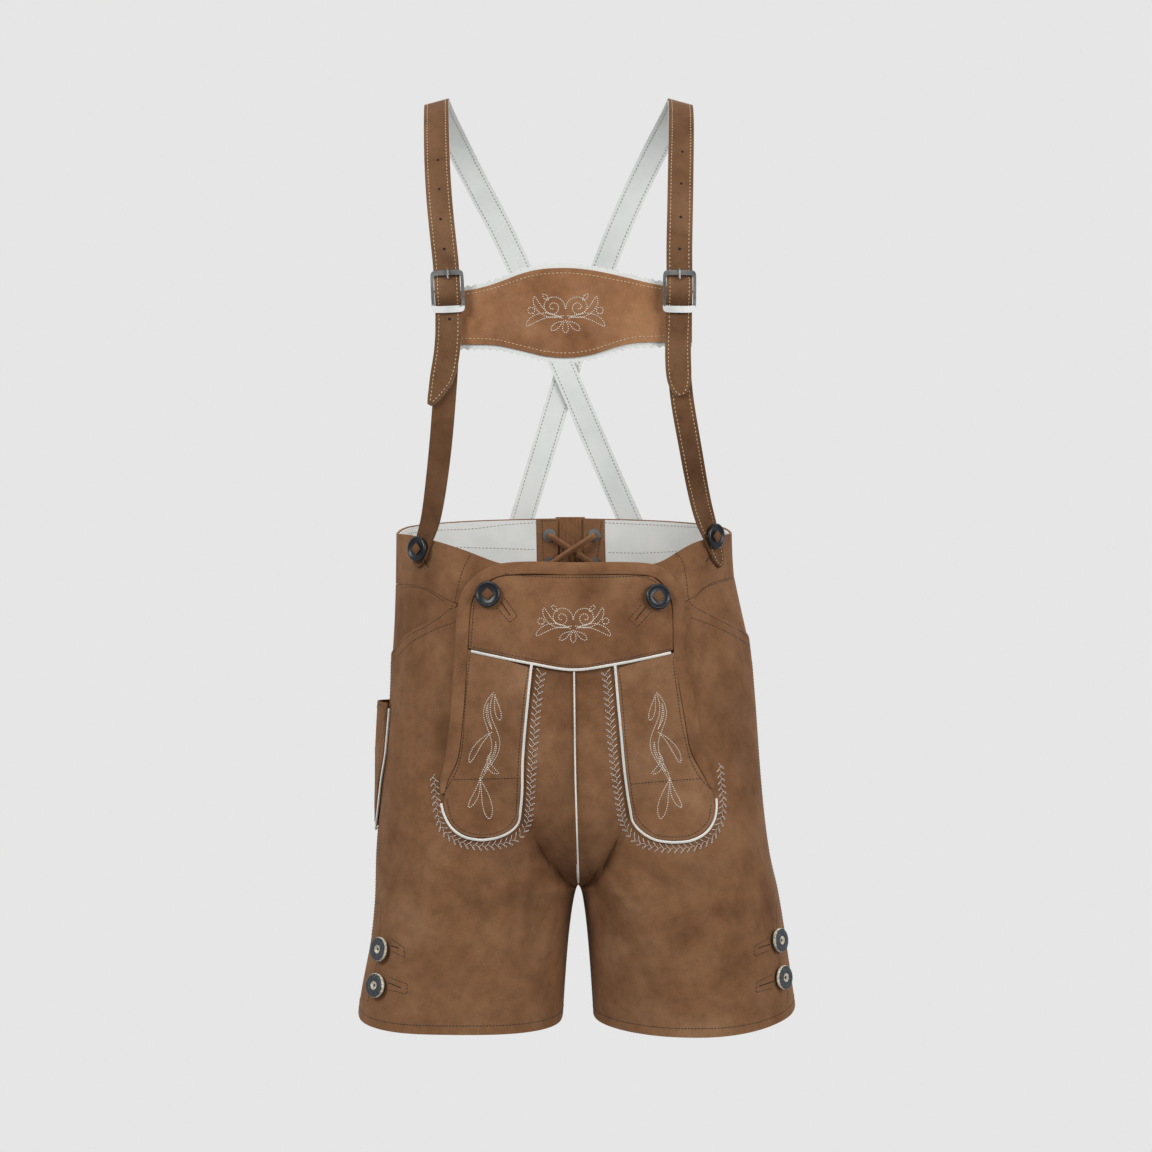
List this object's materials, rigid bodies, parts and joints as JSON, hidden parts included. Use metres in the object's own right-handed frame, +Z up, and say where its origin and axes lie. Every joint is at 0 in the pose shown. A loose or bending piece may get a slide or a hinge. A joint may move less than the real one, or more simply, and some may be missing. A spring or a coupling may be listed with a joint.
{
  "type": "lederhosen",
  "caption": "Short suede lederhosen in their worn form: drop front with embroidered pockets, crossed braces with buckles and a chest piece, and buttoned hem vents.",
  "frame": {"origin": "midway between the two braces, where they rest on the wearer's shoulders", "axes": "+Z up, the garment's front faces -Y, +X to the right as seen from the front"},
  "size_m": [0.4064, 0.2491, 0.8578],
  "materials": {
    "suede": "mottled brown suede, matt, with a short nap",
    "white_leather": "smooth white leather, slightly matt",
    "dark_horn": "polished dark horn look, satin gloss",
    "antler": "carved antler look, cream rim on a dark face",
    "nickel": "nickel plate, lightly brushed"
  },
  "bodies": {
    "root": {"back_button_left": "dark_horn", "back_button_right": "dark_horn", "back_cross_patch": "suede", "back_gusset": "suede", "back_panel_left": "suede", "back_panel_right": "suede", "back_waistband_left": "suede", "back_waistband_right": "suede", "brace_button_left": "dark_horn", "brace_button_right": "dark_horn", "brace_thong_left": "suede", "brace_thong_right": "suede", "buckle_left": "nickel", "buckle_right": "nickel", "centre_piping": "white_leather", "chest_backing": "white_leather", "chest_piece": "suede", "eyelet_facing_left": "suede", "eyelet_facing_right": "suede", "eyelet_left_lower": "nickel", "eyelet_left_upper": "nickel", "eyelet_right_lower": "nickel", "eyelet_right_upper": "nickel", "flap_binding": "suede", "flap_button_left": "dark_horn", "flap_button_right": "dark_horn", "flap_pocket_left": "suede", "flap_pocket_right": "suede", "flap_thong_left": "suede", "flap_thong_right": "suede", "flap_yoke": "suede", "front_panel_left": "suede", "front_panel_right": "suede", "front_waistband_left": "suede", "front_waistband_right": "suede", "hem_button_left_lower": "antler", "hem_button_left_upper": "antler", "hem_button_right_lower": "antler", "hem_button_right_upper": "antler", "hip_yoke_left": "suede", "hip_yoke_right": "suede", "knife_pocket": "suede", "knife_pocket_piping": "white_leather", "lace": "suede", "pocket_piping_left": "white_leather", "pocket_piping_right": "white_leather", "prong_left": "nickel", "prong_right": "nickel", "strap_lining_left": "white_leather", "strap_lining_right": "white_leather", "strap_lower_left": "suede", "strap_lower_right": "suede", "strap_upper_left": "suede", "strap_upper_right": "suede", "vent_underlap_left": "suede", "vent_underlap_right": "suede", "waist_lining_left": "white_leather", "waist_lining_right": "white_leather", "yoke_piping": "white_leather"}
  },
  "joints": []
}
